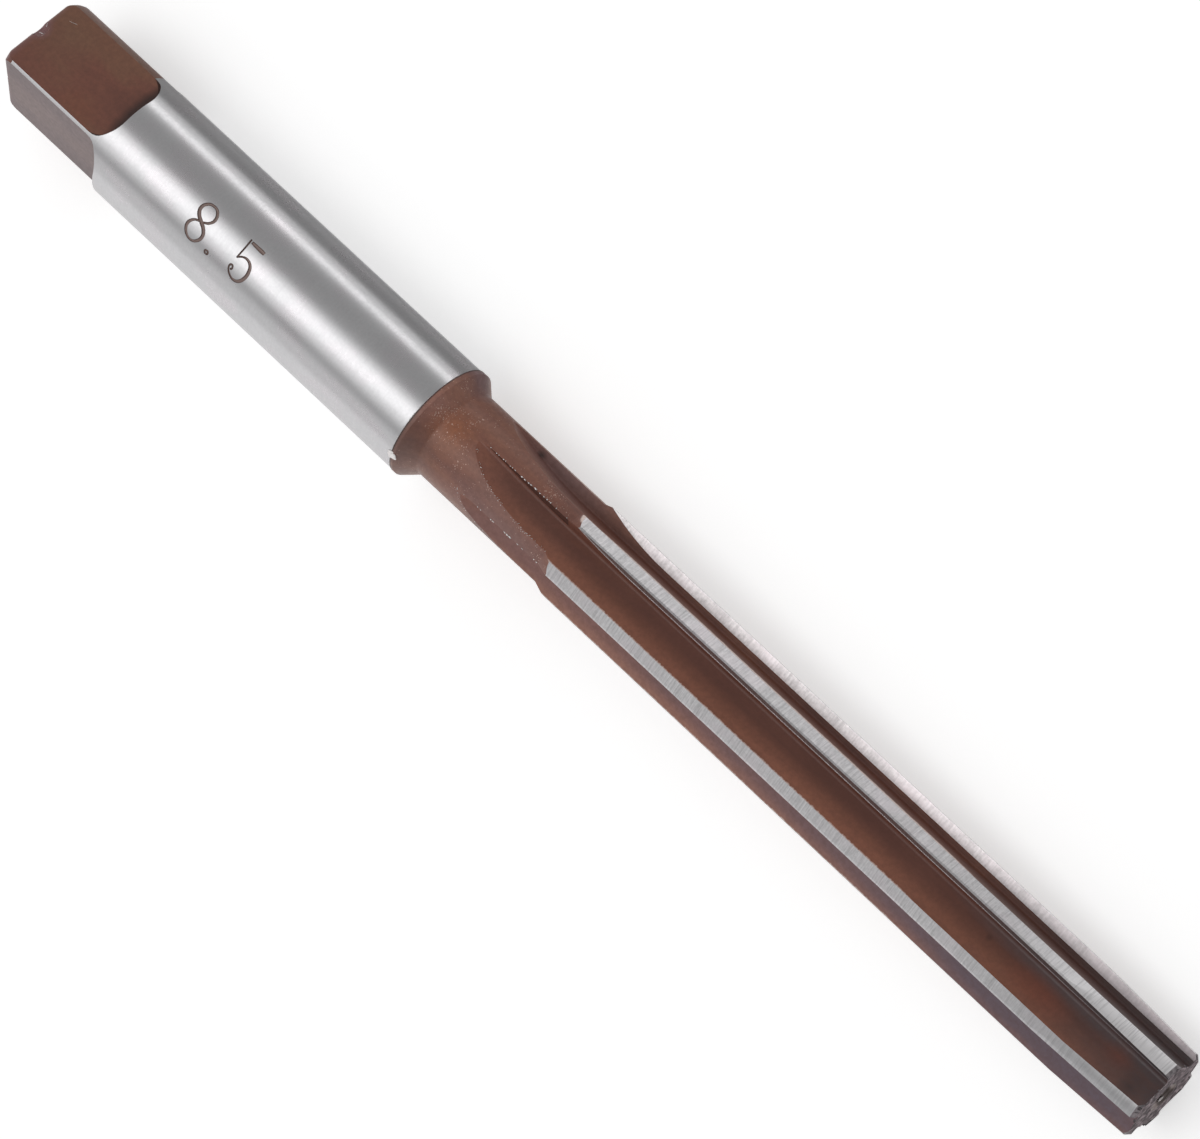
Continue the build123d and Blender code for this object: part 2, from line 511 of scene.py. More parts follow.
# %% Engrave 8.5
eight = [stroke((21.75, 6.92, 0.11), (21.38, 6.93, 0.116), (21.03, 7.12, 0.134),
                (20.80, 7.62, 0.171), (21.02, 8.10, 0.177), (21.56, 8.45, 0.171),
                (22.10, 8.80, 0.171), (22.34, 9.29, 0.158), (22.04, 9.93, 0.122),
                (21.70, 10.12, 0.11), (21.45, 10.14, 0.11)),
         stroke((21.40, 6.93, 0.11), (21.75, 6.92, 0.116), (22.13, 7.13, 0.134),
                (22.36, 7.65, 0.152), (22.18, 8.08, 0.122), (21.81, 8.34, 0.097),
                (21.56, 8.45, 0.097), (21.29, 8.52, 0.097), (20.96, 8.70, 0.11),
                (20.69, 9.20, 0.146), (20.84, 9.73, 0.134), (21.30, 10.10, 0.11),
                (21.60, 10.15, 0.11))]
point = [stroke((23.26, 9.83, 0.097), (23.42, 9.90, 0.097), (23.44, 10.06, 0.097),
                (23.31, 10.13, 0.097)),
         stroke((23.31, 10.13, 0.097), (23.18, 10.08, 0.097), (23.14, 9.94, 0.097),
                (23.26, 9.83, 0.097))]
five = [stroke((27.18, 6.98, 0.152), (26.90, 6.97, 0.171), (26.30, 6.96, 0.158),
               (25.80, 6.95, 0.122)),
        stroke((25.62, 6.80, 0.073), (25.66, 7.30, 0.079), (25.67, 7.80, 0.079),
               (25.64, 8.60, 0.073)),
        stroke((25.60, 8.58, 0.067), (26.01, 8.24, 0.085), (26.49, 8.16, 0.116),
               (26.93, 8.38, 0.146), (27.15, 8.85, 0.165), (27.12, 9.46, 0.165),
               (26.86, 9.92, 0.146), (26.41, 10.15, 0.116), (25.95, 10.04, 0.091),
               (25.62, 9.76, 0.085), (25.49, 9.48, 0.085)),
        stroke((25.50, 9.52, 0.085), (25.55, 9.33, 0.091), (25.72, 9.28, 0.091),
               (25.84, 9.42, 0.091)),
        stroke((25.84, 9.40, 0.091), (25.80, 9.58, 0.085), (25.68, 9.62, 0.073))]
cut(eight + point + five)

# %% [markdown]
# ## From millimetres to metres
#
# Now the mesh is scaled and shaded. Faces are smooth except across edges that turn by more than ten
# degrees, so cylinders and root rounds look round while lands and flats keep crisp edges.

# %% Finish the mesh
millimetre = Vector((0.001, 0.001, 0.001))
smooth_deg = 10
bm = bmesh.new()
bm.from_mesh(reamer.data)
bmesh.ops.scale(bm, vec=millimetre, verts=bm.verts)
bmesh.ops.recalc_face_normals(bm, faces=bm.faces)
bm.to_mesh(reamer.data)
bm.free()
reamer.data.shade_smooth()
reamer.data.set_sharp_from_angle(angle=radians(smooth_deg))
reamer.data.update()
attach(reamer, "root")
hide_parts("reamer")
print("reamer:", len(reamer.data.polygons), "faces")
for name, i in index.items():
    print("  ", name, sum(p.material_index == i for p in reamer.data.polygons), "faces")

# %% [markdown]
# ## Bright flecks and a burr
#
# Milling leaves a fine burr along the edges in the neck, and its crumbs are bright. At the collar a
# tongue of bare steel is smeared over the brown ring. Such crumbs are too small for careful shapes:
# each is a squashed ball, half sunk in the surface, and a fixed seed scatters them the same way on
# every run.

# %% How a fleck is made
crumbs = random.Random(85)
flecks = bmesh.new()
along_x = Vector((1, 0, 0))


def fleck(place, along, size, out=None, fine=1):
    """A squashed ball at a place in mm, its length pointing along a direction."""
    made = bmesh.ops.create_icosphere(flecks, subdivisions=fine, radius=1)["verts"]
    out = out or Vector((0, place.y, place.z)).normalized()
    along = (along - out * along.dot(out)).normalized()
    turn = Matrix((along, out.cross(along), out)).transposed()
    bmesh.ops.scale(flecks, vec=size, verts=made)
    bmesh.ops.rotate(flecks, cent=(0, 0, 0), matrix=turn, verts=made)
    bmesh.ops.translate(flecks, vec=place, verts=made)


def on_neck(x, angle, over=0.0):
    """A point on the neck, which is a tenth of a millimetre off the axis."""
    way, centre = polar(1, angle), polar(off_axis, off_axis_deg)
    reach = way.dot(centre) + sqrt(neck_r ** 2 - centre.length_squared + way.dot(centre) ** 2)
    return Vector((x, *((reach + over) * way)))


# %% [markdown]
# The burr is thickest in the middle of each run-out's lip. The far lip shows its flat side to the
# lamp and glitters in dashes. Along the heel the crumbs are smaller and lie more loosely.

# %% Burr along two run-outs
to_lamp = Vector((-0.069, -0.089, 0.994))
lip_start, lip_middle, heel_start, run_out_end = 50.4, 55.5, 49.8, 59.4
for number in (0, 1):
    x = lip_start
    while x < run_out_end:
        middle_share = 1 - abs(x - lip_middle) / 6
        size = crumbs.uniform(0.03, 0.05 + 0.17 * middle_share)
        if crumbs.random() < (0.25 + 0.6 * middle_share) * (1.0, 0.6)[number]:
            place = on_neck(x, edge_angles[number] + crumbs.uniform(-0.7, 0.1), 0.01)
            width = crumbs.uniform(0.03, 0.05 + 0.05 * middle_share)
            fleck(place, along_x, (size, width, 0.022), (to_lamp, None)[number])
        x += size * 2 + crumbs.expovariate(9)
for number in (0, 1):
    heel_x = heel_r * cos(radians(pitches[number] - land_angle))
    x = heel_start
    while x < run_out_end:
        rise = wheel_r - sqrt(wheel_r ** 2 - max(full_depth - x, 0) ** 2)
        turned = degrees(acos(min(1, (heel_x + rise) / neck_r)))
        place = on_neck(x, edge_angles[number] + turned + crumbs.gauss(0.9, 1.3))
        way = Vector((1, crumbs.uniform(-0.4, 1.4), 0))
        fleck(place, way, (crumbs.uniform(0.02, 0.09), crumbs.uniform(0.014, 0.030), 0.014))
        x += crumbs.expovariate(5)

# %% Burr round the collar, and the tongue
rim_flecks = 260
for _ in range(rim_flecks):
    turn_deg = crumbs.uniform(-30, 200)
    fleck(Vector((collar_start + crumbs.gauss(0.02, 0.03), *polar(shank_r + 0.02, turn_deg))),
          Vector((crumbs.gauss(0, 0.12), -sin(radians(turn_deg)), cos(radians(turn_deg)))),
          (crumbs.uniform(0.05, 0.24), crumbs.uniform(0.02, 0.045), 0.025))
tongue_r, tongue_way = 5.035, Vector((0.75, 0.289, 0.332))
for turn_deg, x, size in ((137.6, 44.62, (0.34, 0.15, 0.030)), (140.2, 44.70, (0.40, 0.22, 0.040)),
                          (139.0, 44.95, (0.27, 0.20, 0.045)), (141.6, 44.98, (0.24, 0.18, 0.045)),
                          (140.4, 45.10, (0.17, 0.21, 0.040)), (143.4, 44.72, (0.30, 0.13, 0.030))):
    fleck(Vector((x, *polar(tongue_r, turn_deg))), tongue_way, size, None, 2)

# %% [markdown]
# The last flecks are a polished spot in the tip's centre hole, which glints, and three bright
# scratches on the tang's upper flat.

# %% Glint and scratches
fleck(Vector((119.74, -0.36, -0.80)), Vector((0.15, 1, 0)), (0.36, 0.16, 0.02), to_lamp)
for across, x, along, size in ((0.18, 0.62, (0.9, -0.3), (0.32, 0.035, 0.02)),
                               (-0.62, 0.35, (0.5, 0.8), (0.30, 0.03, 0.02)),
                               (-2.3, 1.9, (0.7, -0.5), (0.75, 0.018, 0.012))):
    n = polar(1, flat_deg)
    way = Vector((along[0], *(along[1] * Vector((-n.y, n.x)))))
    fleck(off_flat(flat_deg, near_flat, across, x), way, size)

# %% Make the flecks one piece
bmesh.ops.scale(flecks, vec=millimetre, verts=flecks.verts)
flecks_object = to_object("bright_flecks", flecks)
for face in flecks_object.data.polygons:
    face.material_index = index["bare_chip"]
flecks_object.data.shade_smooth()
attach(flecks_object, "root")
print("flecks:", len(flecks_object.data.polygons), "faces")

# %% [markdown]
# ## Where the oxide is rubbed thin
#
# The grinding wheel also brushes the heel of each land, and the oxide fades there instead of ending
# in a line. A paint brush would do this by hand; here a number is stored at every point of the
# mesh, highest on the heel and nought away from it, and the oxide material reads it by name. One
# tooth was brushed over a much wider band, which fades out on the way to the tip.

# %% Mark the heels
brushed_to, brushed_width, brushed_most, tip_most = 97, 0.25, 0.85, 0.15
wide_tooth, wide_to, wide_fade, wide_width, wide_most = 5, 101, 5, 0.95, 2.05
mark = reamer.data.attributes.new("rubbed", "FLOAT", "POINT")
marked = 0
for v, slot in zip(reamer.data.vertices, mark.data):
    x, place = 1000 * v.co.x, 1000 * v.co.yz
    if x < teeth_start - 0.5:
        continue
    for number, (edge, pitch) in enumerate(zip(edge_angles, pitches)):
        heel = polar(heel_r, edge + pitch - land_angle)
        width, most = brushed_width, brushed_most if x < brushed_to else tip_most
        if number == wide_tooth and x < wide_to:
            width, most = wide_width, wide_most * min(1, (wide_to - x) / wide_fade)
        off = (place - heel).length
        if off < width:
            slot.value = most * (1 - off / width)
            marked += 1
print("heel points marked:", marked)

# %% [markdown]
# ## Node helpers
#
# A material is a small graph. Two helpers keep the cells short: one adds a node and fills its
# sockets, with numbers or with links, and one stretches a noise, because most marks of grinding and
# milling are grains that are long one way and short the other.

# %% Helpers for materials
def graph(name):
    finish[name].use_nodes = True
    tree = finish[name].node_tree
    tree.nodes.clear()
    return tree


def add(tree, kind, settings=(), **sockets):
    """Adds a node. A socket is given by its name, or by i and its number where names repeat."""
    node = tree.nodes.new("ShaderNode" + kind)
    for key, value in dict(settings).items():
        setattr(node, key, value)
    for key, value in sockets.items():
        numbered = key[0] == "i" and key[1:].isdigit()
        socket = node.inputs[int(key[1:]) if numbered else key.replace("_", " ")]
        if isinstance(value, bpy.types.NodeSocket):
            tree.links.new(value, socket)
        else:
            socket.default_value = value
    return node


def stretched(tree, stretch, turn=(0, 0, 0)):
    place = add(tree, "TexCoord").outputs["Object"]
    return add(tree, "Mapping", Vector=place, Scale=stretch, Rotation=turn).outputs[0]


def noise(tree, stretch, detail=3.0, rough=0.5, turn=(0, 0, 0)):
    """Noise with a stretched grain: stretch is how many grains fit in a metre along x, y, z."""
    return add(tree, "TexNoise", Vector=stretched(tree, stretch, turn), Scale=1.0, Detail=detail,
               Roughness=rough).outputs["Fac"]


def math(tree, operation, a, b=0.0, clamp=False):
    return add(tree, "Math", {"operation": operation, "use_clamp": clamp}, i0=a, i1=b).outputs[0]


def remap(tree, value, low, high, to_low, to_high):
    return add(tree, "MapRange", i0=value, i1=low, i2=high, i3=to_low, i4=to_high).outputs[0]


def blend(tree, share, a, b):
    a, b = [(*c, 1) if isinstance(c, tuple) else c for c in (a, b)]
    return add(tree, "Mix", {"data_type": "RGBA"}, i0=share, i6=a, i7=b).outputs[2]


def average(tree, share, a, b):
    return add(tree, "Mix", {"data_type": "FLOAT"}, i0=share, i2=a, i3=b).outputs[0]


def ramp(tree, value, *stops):
    node = add(tree, "ValToRGB", Fac=value)
    band = node.color_ramp
    while len(band.elements) < len(stops):
        band.elements.new(1.0)
    for element, (at, colour) in zip(band.elements, stops):
        element.position = at
        element.color = (*colour, 1)
    return node.outputs["Color"]


round_axis, along_axis = (0, 1, 1), (1, 0, 0)


def distance_from(tree, x, y, z, keep=(1, 1, 1)):
    """How far, in metres and along the kept directions, the surface is from a place in mm."""
    here = add(tree, "TexCoord").outputs["Object"]
    off = add(tree, "VectorMath", {"operation": "SUBTRACT"}, i0=here,
              i1=(x / 1000, y / 1000, z / 1000))
    kept = add(tree, "VectorMath", {"operation": "MULTIPLY"}, i0=off.outputs[0], i1=keep).outputs[0]
    return add(tree, "VectorMath", {"operation": "LENGTH"}, i0=kept).outputs["Value"]


def bumped(tree, height, deep_mm):
    return add(tree, "Bump", Strength=1.0, Distance=deep_mm / 1000, Height=height).outputs[0]


def close(tree, shader):
    add(tree, "OutputMaterial", Surface=shader.outputs[0])


# %% [markdown]
# ## Ground steel
#
# Fresh ground steel is a mirror with fine lines across it. On the shank the lines run round the
# cylinder, so the grain is short along x. The colour hardly varies; what the eye sees is the soft
# box, drawn out by the roughness. A real groove pattern would need millions of faces, so the lines
# are a bump. A second, round grain and a few patches of short scuffs break the lines up. Ticks are
# single lines that are deeper and darker, and local lists places with a colour of their own.

# %% Ground shank
def ground(name, tint, rough, lines_per_m, bump_mm, contrast, lean=0.0, grainy=0.35, ticks=0.0,
           local=()):
    tree = graph(name)
    lines = noise(tree, (lines_per_m, 300, 300), 3.0, 0.65, (0, 0, lean))
    grain = noise(tree, (5200, 4200, 4200), 2.0, 0.6)
    cloud = noise(tree, (260, 420, 420), 3.0, 0.55)
    mottle = average(tree, grainy, lines, grain)
    colour = ramp(tree, mottle, (0.30, tuple((1 - contrast) * c for c in tint)), (0.62, tint))
    warm = blend(tree, remap(tree, cloud, 0.45, 0.7, 0.0, 0.5), colour,
                 tuple(c * k for c, k in zip(tint, (1.03, 0.96, 0.99))))
    for place, keep, start, stop, share, own in local:
        near = remap(tree, distance_from(tree, *place, keep), start / 1000, stop / 1000, share, 0.0)
        warm = blend(tree, near, warm, own)
    if ticks:
        single = noise(tree, (7400, 420, 420), 2.0, 0.6, (0, 0, lean))
        warm = blend(tree, remap(tree, single, 0.38, 0.50, ticks, 0.0), warm,
                     tuple(0.40 * c for c in tint))
    roughness = remap(tree, average(tree, 0.5, mottle, cloud), 0.3, 0.7, rough * 1.18, rough * 0.84)
    scuffs = math(tree, "MULTIPLY", noise(tree, (3600, 1500, 1500), 1.0),
                  remap(tree, noise(tree, (190, 300, 300), 2.0), 0.56, 0.68, 0.0, 1.4))
    bump = bumped(tree, math(tree, "ADD", mottle, scuffs), bump_mm)
    close(tree, add(tree, "BsdfPrincipled", i0=warm, Metallic=1.0, Roughness=roughness,
                    Specular_Tint=(0.84, 0.84, 0.84, 1), Normal=bump))


ground("ground_shank", (0.60, 0.595, 0.605), 0.29, 8200, 0.0011, 0.10, grainy=0.6)

# %% [markdown]
# The lands show their lines more plainly. They were ground the other way, so the lines lean a
# little, and now and then one is deep and dark. Towards the tip one land is duller and its
# neighbour brighter. The cutting faces are ground too and turn dark towards the tip, where they are
# worn. The broken edges of the tip and the loose crumbs are bare steel as well.

# %% Ground lands, cutting faces and broken edges
land_lean = radians(3)
ground("ground_land", (0.71, 0.695, 0.705), 0.36, 7600, 0.0026, 0.34, land_lean, ticks=0.26,
       local=[((121, -2.1, 3.64), (0.2, 1, 1), 0.4, 3.9, 0.66, (0.33, 0.338, 0.342)),
              ((121, 2.25, 3.55), (0.25, 1, 1), 2.2, 4.3, 0.90, (0.94, 0.92, 0.93))])
ground("ground_face", (0.70, 0.665, 0.67), 0.36, 4600, 0.0024, 0.32, grainy=0.5, ticks=0.15,
       local=[((121, 0, 0), along_axis, 1.0, 24.0, 0.85, (0.24, 0.205, 0.215))])
ground("tip_chamfer", (0.26, 0.235, 0.245), 0.52, 2600, 0.0300, 0.55, grainy=0.8)
ground("bare_chip", (0.82, 0.79, 0.78), 0.34, 3000, 0.0040, 0.20)

# %% [markdown]
# ## Brown oxide
#
# The brown skin is an oxide, so it behaves like a thin glaze and not like metal: its own colour is
# brown, and seen from the side it turns pale. It drifts between dark brown, red brown and orange
# over a few millimetres. Where the steel under it stands up in tiny grains, the grains are rubbed
# bright: a fine noise is cut off near its peaks, and a coarse one crowds the peaks in places.

# %% How oxide is made
def oxide(name, dark, middle, warm, rough, specks, grain_mm, lustre=1.5, local=(), streaky=0.3):
    """Specks is how high the grain stands where it is rubbed bright. Local lists places with a
    colour of their own: where, which directions count, from and to which distance, how much."""
    tree = graph(name)
    patches = noise(tree, (70, 190, 190), 4.0, 0.6)
    streaks = noise(tree, (60, 1500, 1500), 2.0, 0.5)
    grain = noise(tree, (2600, 2600, 2600), 3.0, 0.65)
    drift = average(tree, streaky, patches, streaks)
    colour = ramp(tree, drift, (0.39, dark), (0.5, middle), (0.62, warm))
    ragged = noise(tree, (4300, 600, 600), 3.0, 0.7)
    for place, keep, start, stop, share, own in local:
        uneven = math(tree, "SUBTRACT", patches, 0.5)
        off = math(tree, "ADD", distance_from(tree, *place, keep),
                   math(tree, "MULTIPLY", uneven, abs(stop - start) / 700))
        colour = blend(tree, remap(tree, off, start / 1000, stop / 1000, share, 0.0), colour, own)
    grained = blend(tree, remap(tree, grain, 0.35, 0.7, 0.30, 0.0), colour,
                    tuple(0.5 * c for c in dark))
    crumbs = noise(tree, (10500, 7500, 7500), 1.0, 0.6)
    crowd = noise(tree, (420, 420, 420), 2.0, 0.6)
    speck = remap(tree, average(tree, 0.35, crumbs, crowd), specks, specks + 0.04, 0.0, 0.6)
    rubbed = add(tree, "Attribute", {"attribute_name": "rubbed"}).outputs["Fac"]
    worn = remap(tree, math(tree, "ADD", rubbed, ragged), 1.0, 1.5, 0.0, 0.85)
    steel = math(tree, "MAXIMUM", math(tree, "MULTIPLY", worn, 0.3), speck)
    shown = blend(tree, worn, blend(tree, speck, grained, (0.80, 0.58, 0.50)), (0.92, 0.77, 0.71))
    roughness = remap(tree, average(tree, 0.5, patches, grain), 0.3, 0.7, rough * 1.2, rough * 0.85)
    close(tree, add(tree, "BsdfPrincipled", i0=shown, Metallic=steel, Roughness=roughness,
                    Normal=bumped(tree, grain, grain_mm), IOR=lustre))


# %% [markdown]
# The flutes are painted darker in their depth, as shade there, paler towards the neck and sooty at
# the tip. Beside the heel of one land the flute is painted paler orange, as light falling there,
# and near the far left edge it is painted paler, as sheen. A list of such places goes with each
# finish, and every one of them fades out over its own distance. Later places lie over earlier ones.

# %% Oxide of the flutes
oxide("flute_oxide", (0.175, 0.062, 0.040), (0.240, 0.088, 0.057), (0.290, 0.108, 0.060),
      0.44, 0.82, 0.004, 1.46,
      # Painted shade: darker in the depth of every flute.
      [((0, 0, 0), round_axis, 2.9, 4.1, 0.68, (0.100, 0.036, 0.025)),
       ((50, 0, 0), along_axis, 3.0, 13.0, 0.20, (0.34, 0.150, 0.112)),
       # Painted light: paler orange beside the heel of one land, where more light falls in the
       # flute.
       ((84, -1.5, 3.7), round_axis, 0.3, 1.8, 0.38, (0.37, 0.135, 0.070)),
       ((112, 3.4, 1.8), (0.15, 1, 1), 1.5, 2.8, 0.62, (0.070, 0.039, 0.034)),
       ((121, 0, 0), along_axis, 3.0, 11.5, 0.90, (0.058, 0.047, 0.051)),
       ((118.3, -0.7, 3.45), (1, 1, 1), 0.2, 1.3, 0.60, (0.026, 0.023, 0.027)),
       ((84, -3.06, 1.24), round_axis, 0.9, 1.9, 0.80, (0.265, 0.128, 0.113)),
       # Painted sheen: paler along the far left edge, as sheen at that grazing angle.
       ((84, -4.0, 0.85), round_axis, 0.15, 0.95, 0.50, (0.46, 0.215, 0.145)),
       ((112, -2.95, 1.45), (0.06, 1, 1), 0.5, 2.5, 0.85, (0.112, 0.086, 0.118)),
       ((55, 3.9, 0.9), (0.25, 1, 1), 0.3, 1.6, 0.60, (0.25, 0.155, 0.155)),
       ((113, 0.98, 2.73), (0.06, 1, 1), 0.15, 0.80, 0.60, (0.088, 0.080, 0.088)),
       ((116.2, 0.3, 3.0), (0.6, 1, 1), 0.2, 1.1, 0.60, (0.180, 0.052, 0.032)),
       ((109.0, -0.4, 3.0), (0.4, 1, 1), 0.2, 1.3, 0.55, (0.230, 0.062, 0.034)),
       ((103.4, 0.24, 3.04), (1, 1, 1), 0.05, 0.32, 0.50, (0.050, 0.020, 0.014)),
       ((52.8, 3.48, 0.34), (1, 1, 1), 0.06, 0.48, 0.80, (0.030, 0.013, 0.011))])

# %% [markdown]
# The cone is paler than the neck, and beside it the neck has a warm patch of temper colour. Where
# the collar meets the ground shank a thin dark line runs round.

# %% Oxide of the neck
oxide("neck_oxide", (0.180, 0.072, 0.052), (0.265, 0.108, 0.074), (0.310, 0.130, 0.082),
      0.42, 0.633, 0.010, 1.5,
      [((45.2, -2.9, 3.9), (1, 1, 1), 1.0, 4.2, 0.60, (0.105, 0.066, 0.060)),
       ((45.3, 1.6, 4.6), (1, 1, 1), 0.4, 2.4, 0.60, (0.42, 0.215, 0.175)),
       ((47.4, 0.6, 3.9), (1, 1, 1), 0.3, 2.4, 0.80, (0.37, 0.125, 0.050)),
       ((45.3, 4.8, 0.96), (1, 1, 1), 0.9, 2.7, 0.65, (0.20, 0.122, 0.140)),
       ((55, -1.42, 3.69), (0.4, 1, 1), 0.3, 1.6, 0.35, (0.37, 0.165, 0.105)),
       ((55, -2.38, 3.15), (0.3, 1, 1), 0.5, 2.3, 0.55, (0.27, 0.165, 0.158)),
       ((44.69, 0, 0), along_axis, 0.05, 0.17, 0.90, (0.020, 0.012, 0.012))])

# %% [markdown]
# On the tang the upper and lower flats are red brown, and the two sides are greyer. Near the
# shoulder the flats are painted dark, as shade beside its wall. The lip at the end is mauve. The
# steep walls of the first two run-outs are painted darker, with painted shade under their lip and
# at their root.

# %% Oxide of the tang and the walls
oxide("tang_oxide", (0.170, 0.062, 0.042), (0.212, 0.078, 0.051), (0.220, 0.098, 0.058),
      0.36, 0.80, 0.006, 1.5,
      [((7.5, -1.6, 3.7), (1, 1, 1), 0.4, 2.6, 0.35, (0.26, 0.088, 0.036)),
       ((2.2, 2.6, 2.9), (1, 1, 1), 0.5, 3.6, 0.45, (0.20, 0.110, 0.062)),
       # Painted shade: dark near the shoulder's wall, where the upper flat lies in shade.
       ((11.5, 2.7, 2.7), (1, 0.25, 0.25), 0.85, 1.50, 0.92, (0.030, 0.012, 0.010)),
       ((0, 0, 0), along_axis, 0.05, 0.75, 0.55, (0.250, 0.140, 0.150)),
       ((0.1, 1.68, 3.22), (1, 1, 1), 0.5, 1.2, 0.60, (0.270, 0.140, 0.155)),
       ((4.15, -1.45, 3.3), (1, 1, 1), 0.10, 0.28, 0.75, (0.050, 0.020, 0.014))], 0.06)
oxide("side_oxide", (0.120, 0.070, 0.072), (0.150, 0.084, 0.084), (0.170, 0.094, 0.086),
      0.36, 0.84, 0.006, 1.5,
      [((0, 0, 0), along_axis, 0.05, 0.75, 0.50, (0.250, 0.140, 0.150))], 0.06)
# Painted shade: the run-out walls are darker all over, nearly black under the lip and dark at the
# root.
oxide("wall_oxide_shaded", (0.085, 0.034, 0.025), (0.125, 0.050, 0.036), (0.165, 0.066, 0.046),
      0.46, 0.90, 0.008, 1.4,
      [((0, 0, 0), round_axis, 3.98, 3.74, 0.95, (0.012, 0.006, 0.006)),
       ((0, 0, 0), round_axis, 3.10, 3.30, 0.70, (0.030, 0.013, 0.011))])
# Painted shade: the foot of the tang's shoulder is painted nearly black, as shade in that corner.
oxide("corner_shade", (0.026, 0.012, 0.010), (0.045, 0.020, 0.015), (0.070, 0.032, 0.024),
      0.5, 0.95, 0.010, 1.3)

# %% [markdown]
# ## The tip, the centre holes and the engraving
#
# The end face is rough and mauve, the countersinks are polished dark by the machine's points, and
# the engraved strokes are painted lighter in the bottom of the groove and darker along its sides,
# as shade on the groove's walls. That painted shade is a matter of depth, and the depth is simply
# the distance from the axis, which the graph measures.

# %% Tip, centre holes and engraving
tree = graph("tip_face")
flakes = noise(tree, (1700, 1700, 1700), 3.0, 0.6)
tint = ramp(tree, flakes, (0.36, (0.022, 0.012, 0.015)), (0.50, (0.105, 0.068, 0.078)),
            (0.63, (0.36, 0.27, 0.29)))
close(tree, add(tree, "BsdfPrincipled", i0=tint, Metallic=0.0, IOR=1.3,
                Roughness=remap(tree, flakes, 0.3, 0.7, 0.7, 0.45),
                Normal=bumped(tree, flakes, 0.06)))

tree = graph("centre_hole")
rings = noise(tree, (6000, 500, 500), 2.0, 0.6)
tint = ramp(tree, rings, (0.35, (0.10, 0.078, 0.072)), (0.7, (0.28, 0.24, 0.235)))
close(tree, add(tree, "BsdfPrincipled", i0=tint, Metallic=1.0, Roughness=0.27,
                Normal=bumped(tree, rings, 0.003)))

tree = graph("engraving")
scratch = noise(tree, (5000, 5000, 5000), 3.0, 0.7)
# Painted shade: the shallow sides of a stroke are dark, its bottom lighter.
sunk = remap(tree, distance_from(tree, 0, 0, 0, round_axis), 0.00499, 0.00492, 0.0, 1.0)
depth = math(tree, "ADD", sunk, math(tree, "MULTIPLY", scratch, 0.5))
tint = ramp(tree, depth, (0.30, (0.048, 0.026, 0.021)), (0.72, (0.105, 0.058, 0.046)),
            (1.0, (0.26, 0.185, 0.165)))
close(tree, add(tree, "BsdfPrincipled", i0=tint, Metallic=0.25,
                Roughness=remap(tree, scratch, 0.3, 0.7, 0.55, 0.4),
                Normal=bumped(tree, scratch, 0.008)))

# %% [markdown]
# ## Floor
#
# The reamer lies on its collar and on two teeth, and the teeth reach less far out than the collar.
# So it tips by one degree, and in the reamer's own frame it is the table that leans. To the camera
# and to mirrors the floor adds enough of its own white to vanish, but it still takes the shadow.

# %% Lay the floor
def studio_sheet(name, skin, bm):
    """A sheet that isn't part of the reamer, with a new material of its own."""
    mesh = bpy.data.meshes.new(name)
    bm.to_mesh(mesh)
    bm.free()
    finish[skin] = bpy.data.materials.new(skin)
    mesh.materials.append(finish[skin])
    made = bpy.data.objects.new(name, mesh)
    bpy.context.scene.collection.objects.link(made)
    return made


collar_touch, teeth_touch, teeth_reach = 45.0, 110.4, 3.861
lean = atan2(collar_r - teeth_reach, teeth_touch - collar_touch)
bm = bmesh.new()
bmesh.ops.create_grid(bm, x_segments=2, y_segments=2, size=3.0)
bmesh.ops.rotate(bm, cent=(0, 0, 0), matrix=Matrix.Rotation(-lean, 3, "Y"), verts=bm.verts)
bmesh.ops.translate(bm, vec=(collar_touch / 1000, 0, -collar_r / 1000), verts=bm.verts)
floor = studio_sheet("floor", "paper", bm)
tree = graph("paper")
lit = add(tree, "BsdfDiffuse", Color=(0.82, 0.82, 0.82, 1))
own = add(tree, "Emission", Color=(1, 1, 1, 1), Strength=0.50)
both = add(tree, "AddShader", i0=lit.outputs[0], i1=own.outputs[0])
path = add(tree, "LightPath")
seen = math(tree, "MAXIMUM", path.outputs["Is Camera Ray"], path.outputs["Is Glossy Ray"])
seen = math(tree, "MAXIMUM", seen, path.outputs["Is Transmission Ray"])
close(tree, add(tree, "MixShader", i0=seen, i1=lit.outputs[0], i2=both.outputs[0]))

# %% [markdown]
# ## Light
#
# Polished cylinders show the studio itself: every stripe on the shank is a lamp or a gap between
# lamps. The stripes were read off the photo as angles round the shank, and each lamp is hung where
# the shank mirrors it. A long box over the reamer, slightly to one side, has a bright middle and a
# weaker rim and gives the broad stripe. A narrow one low on the other side gives the second stripe;
# it ends where the teeth would mirror it, because they don't in the photo. A card low on the near
# side lifts the left edge.

# %% Hang the lamps
middle = Vector((0.062, 0, 0))
camera_side, right_side = radians(83.3), radians(-6.7)
toward = Vector((0, cos(camera_side), sin(camera_side)))
aside = Vector((0, cos(right_side), sin(right_side)))


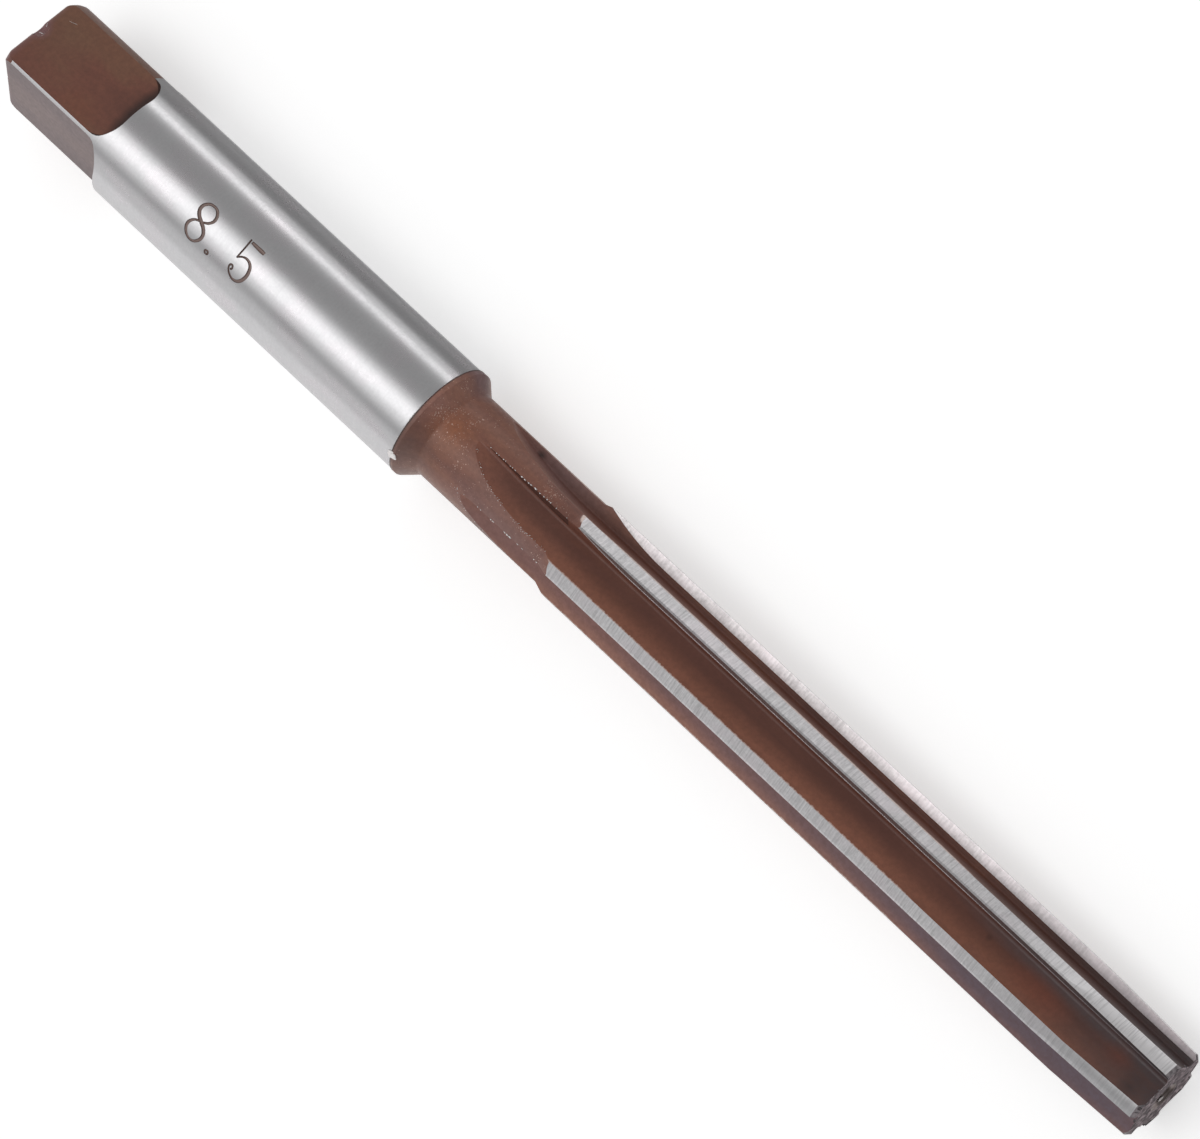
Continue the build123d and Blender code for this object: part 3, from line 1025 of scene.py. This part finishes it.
def lamp(name, angle, width_deg, length, radiance, along=-0.32, distance=1.1):
    """A soft box seen at an angle round the shank, counted from the camera's side."""
    way = toward * cos(radians(angle)) + aside * sin(radians(angle)) + Vector((along, 0, 0))
    way.normalize()
    width = 2 * distance * tan(radians(width_deg / 2))
    light = bpy.data.lights.new(name, "AREA")
    light.shape, light.size, light.size_y = "RECTANGLE", length, width
    light.energy = radiance * pi * length * width
    box = bpy.data.objects.new(name, light)
    bpy.context.scene.collection.objects.link(box)
    x = (along_x - way * way.x).normalized()
    box.matrix_world = Matrix((x, way.cross(x), way)).transposed().to_4x4()
    box.location = middle + way * distance
    box.visible_camera = False
    print(name, [round(v, 3) for v in box.location], "watts", round(light.energy, 2))


lamp("main_box_rim", -26, 48, 1.4, 0.67)
lamp("main_box_middle", -23.5, 23, 1.4, 0.82)
lamp("low_box", 71, 12, 0.75, 1.72, along=-0.62)
lamp("near_card", -82, 22, 1.4, 0.45)

# %% [markdown]
# A grey card leans close along the far side of the shank and stands in for the floor in the
# reamer's
# shadow, as the shank mirrors it: it is painted shade that gives the bright cylinder a dark edge.
# It is painted paler towards its foot. Only mirrors see it; it throws no shadow and hides nothing
# from the camera.

# %% Lean the grey card
card_size, card_place, card_lean = (0.085, 0.0114, 1), (0.0095, 0.0112, -0.0019), 32
card_foot, card_top = -0.0049, 0.0011
bm = bmesh.new()
bmesh.ops.create_grid(bm, x_segments=1, y_segments=1, size=0.5)
bmesh.ops.scale(bm, vec=card_size, verts=bm.verts)
turn_round(bm, card_lean)
bmesh.ops.translate(bm, vec=card_place, verts=bm.verts)
card = studio_sheet("shade_card", "card", bm)
card.visible_camera = card.visible_diffuse = card.visible_shadow = False
tree = graph("card")
height = add(tree, "SeparateXYZ", i0=add(tree, "TexCoord").outputs["Object"]).outputs["Z"]
# Painted shade: greys that stand in for the shadowed floor, paler towards the foot.
shade_greys = ramp(tree, remap(tree, height, card_foot, card_top, 0.0, 1.0), (0.08, (0.85,) * 3),
             (0.27, (0.76,) * 3), (0.42, (0.56,) * 3), (0.62, (0.46,) * 3), (0.92, (0.33,) * 3))
close(tree, add(tree, "BsdfDiffuse", i0=shade_greys))

# %% [markdown]
# ## Room and camera
#
# The room is an even grey, which is what fills the darker stripes. The camera stands where the
# photo was taken from: its place comes from a fit of the outline of shank, neck and teeth, and the
# long lens keeps the perspective as gentle as in the photo.

# %% Room and camera
world = bpy.data.worlds.new("room")
bpy.context.scene.world = world
world.use_nodes = True
walls_of_room = world.node_tree.nodes["Background"].inputs
walls_of_room["Color"].default_value = (1, 1, 1, 1)
walls_of_room["Strength"].default_value = 0.38

camera = bpy.data.cameras.new("camera")
camera.lens, camera.sensor_width, camera.sensor_fit = 180, 36, "HORIZONTAL"
camera.clip_start, camera.clip_end = 0.01, 20
eye = bpy.data.objects.new("camera", camera)
bpy.context.scene.collection.objects.link(eye)
right = Vector((0.698487, 0.651433, -0.296226))
up = Vector((-0.650408, 0.750538, 0.116883))
eye.matrix_world = Matrix((right, up, right.cross(up))).transposed().to_4x4()
eye.location = (0.195555, 0.049814, 0.424045)
bpy.context.scene.camera = eye
bpy.context.scene.view_settings.view_transform = "Standard"
